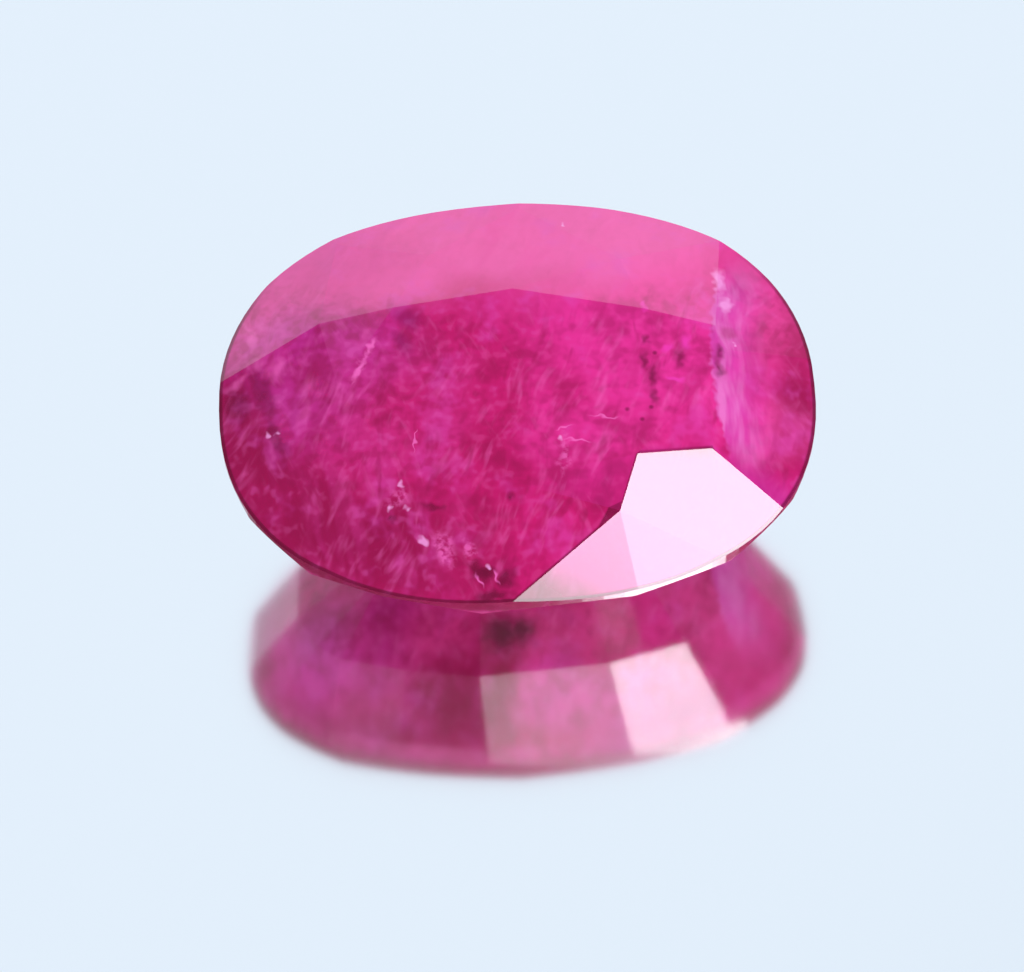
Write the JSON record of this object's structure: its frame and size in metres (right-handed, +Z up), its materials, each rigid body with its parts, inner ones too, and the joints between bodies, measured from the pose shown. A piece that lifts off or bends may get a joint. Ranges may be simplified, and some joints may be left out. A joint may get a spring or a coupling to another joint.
{
  "type": "oval faceted ruby gemstone",
  "caption": "Oval faceted ruby gemstone in a mixed cut, lying tipped forward on its pavilion: a low brilliant crown with a broad table over stepped pavilion facets.",
  "frame": {"origin": "on the ground under the middle of the stone's box", "axes": "+X along the length of the oval, +Z up, -Y the front, towards which the stone leans"},
  "size_m": [0.009, 0.007, 0.0037],
  "materials": {
    "ruby": "polished, translucent pinkish red with silk and feathers inside"
  },
  "bodies": {
    "root": {"ruby": "ruby"}
  },
  "joints": []
}
